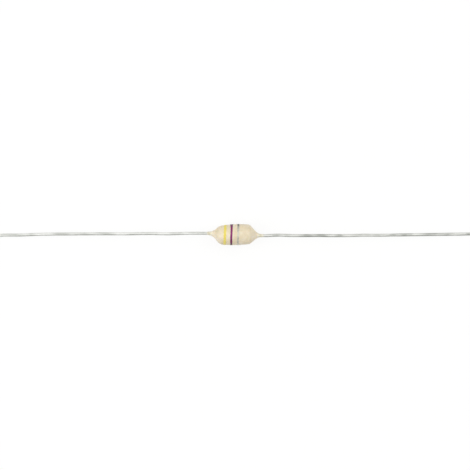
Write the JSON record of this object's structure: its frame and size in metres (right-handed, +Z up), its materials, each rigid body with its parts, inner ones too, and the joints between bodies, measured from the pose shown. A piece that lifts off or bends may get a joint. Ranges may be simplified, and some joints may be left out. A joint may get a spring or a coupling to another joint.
{
  "type": "axial inductor",
  "caption": "Axial leaded inductor: an oval cream epoxy body with colour bands over a wire-wound ferrite drum core, with a long thin tinned lead out of each end.",
  "frame": {"origin": "on the surface that the part lies on, under the middle of its box from lead tip to lead tip", "axes": "+X along the leads, away from the first colour band; +Z up from the surface; +Y across the body"},
  "size_m": [0.0904, 0.0042, 0.0041],
  "materials": {
    "epoxy": "gloss",
    "ferrite": "satin",
    "copper": "gloss",
    "tinned_lead": "satin",
    "glue": "gloss",
    "solder": "satin",
    "ink_yellow": "satin",
    "ink_violet": "satin",
    "ink_silver": "satin"
  },
  "bodies": {
    "root": {"coating": "epoxy", "drum_core": "ferrite", "winding": "copper", "lead_a": "tinned_lead", "lead_b": "tinned_lead", "glue_a": "glue", "glue_b": "glue", "solder_a": "solder", "solder_b": "solder", "band_yellow": "ink_yellow", "band_violet": "ink_violet", "band_silver": "ink_silver"}
  },
  "joints": []
}
